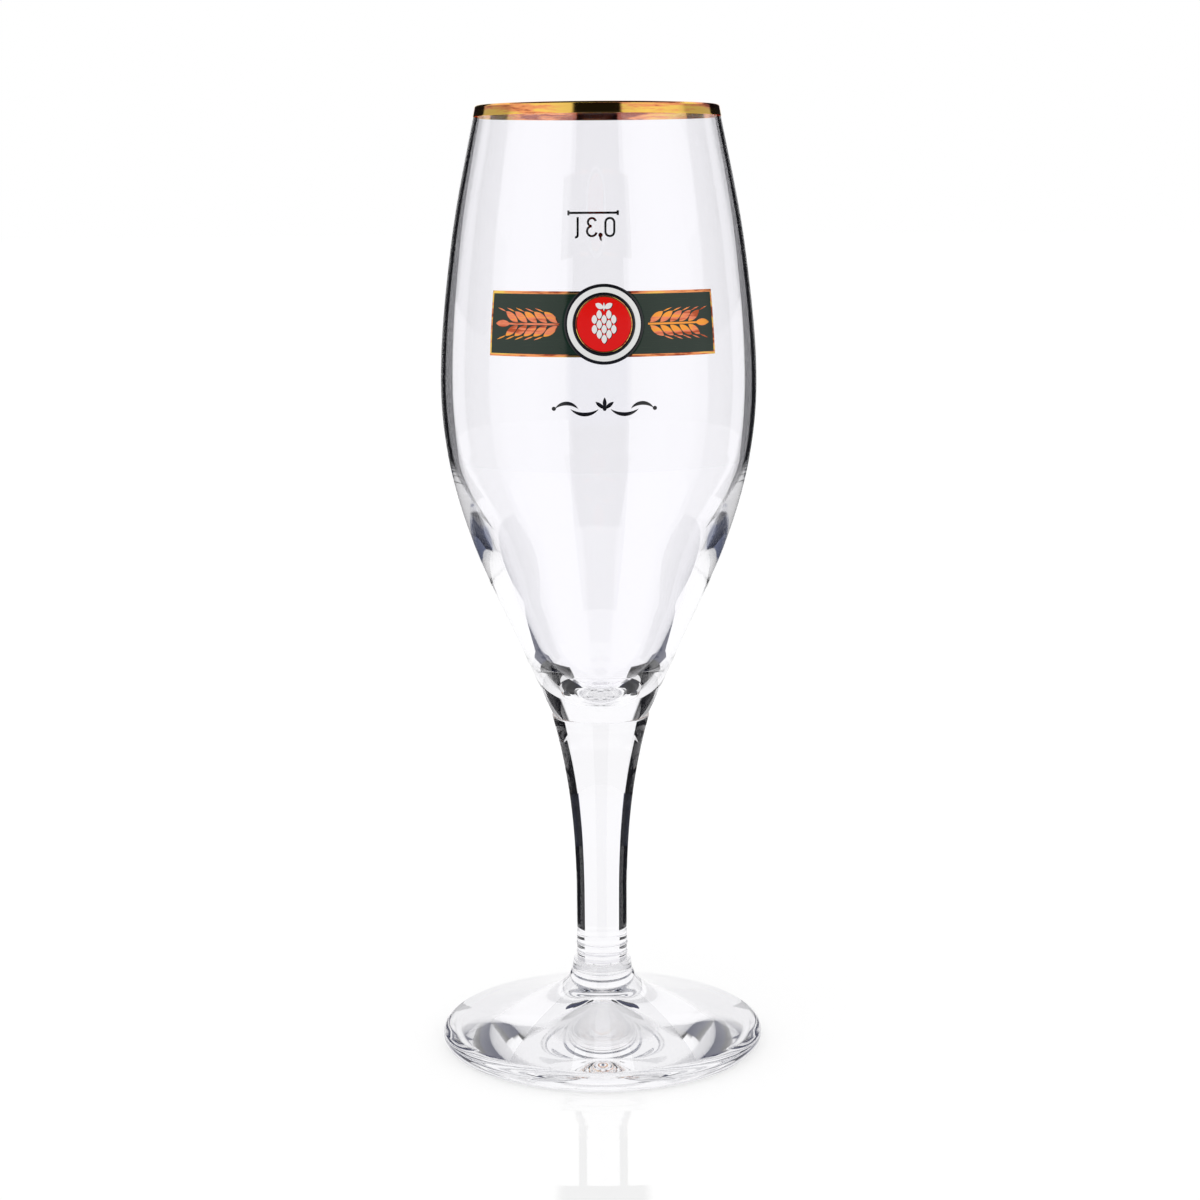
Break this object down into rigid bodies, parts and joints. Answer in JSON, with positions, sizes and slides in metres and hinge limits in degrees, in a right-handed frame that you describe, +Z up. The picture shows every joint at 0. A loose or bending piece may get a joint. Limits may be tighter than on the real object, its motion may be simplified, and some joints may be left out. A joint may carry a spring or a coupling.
{
  "type": "pilsner glass",
  "caption": "Tall stemmed tulip-shaped beer glass with a gold rim, a green enamel band with a round medallion, and a fill mark.",
  "frame": {"origin": "centre of the resting ring under the foot, on the table plane", "axes": "+Z up along the axis of the glass; -Y towards the decorated front; +Y towards the fill mark; +X to the right seen from the front"},
  "size_m": [0.077, 0.077, 0.2221],
  "materials": {
    "clear_glass": "clear soda-lime glass, fire-polished, very slightly cool",
    "gold": "fired bright gold, a thin burnished film",
    "copper_gold": "fired copper-coloured gold, a thin burnished film with fine scratches",
    "green_enamel": "fired glass enamel, very dark green, glossy with fine brush lines",
    "black_enamel": "fired glass enamel, black, glossy",
    "white_enamel": "fired glass enamel, white, glossy",
    "red_enamel": "fired glass enamel, bright red, glossy"
  },
  "bodies": {
    "root": {"bowl": "clear_glass", "stem": "clear_glass", "foot": "clear_glass", "gold_rim": "gold", "band": "green_enamel", "band_lines": "gold", "medallion_rings": "black_enamel", "medallion_white_ring": "white_enamel", "medallion_field": "red_enamel", "medallion_line": "gold", "hop_cone": "white_enamel", "barley_ear_left": "copper_gold", "barley_ear_right": "copper_gold", "flourish": "black_enamel", "fill_line": "black_enamel", "fill_numerals": "black_enamel"}
  },
  "joints": []
}
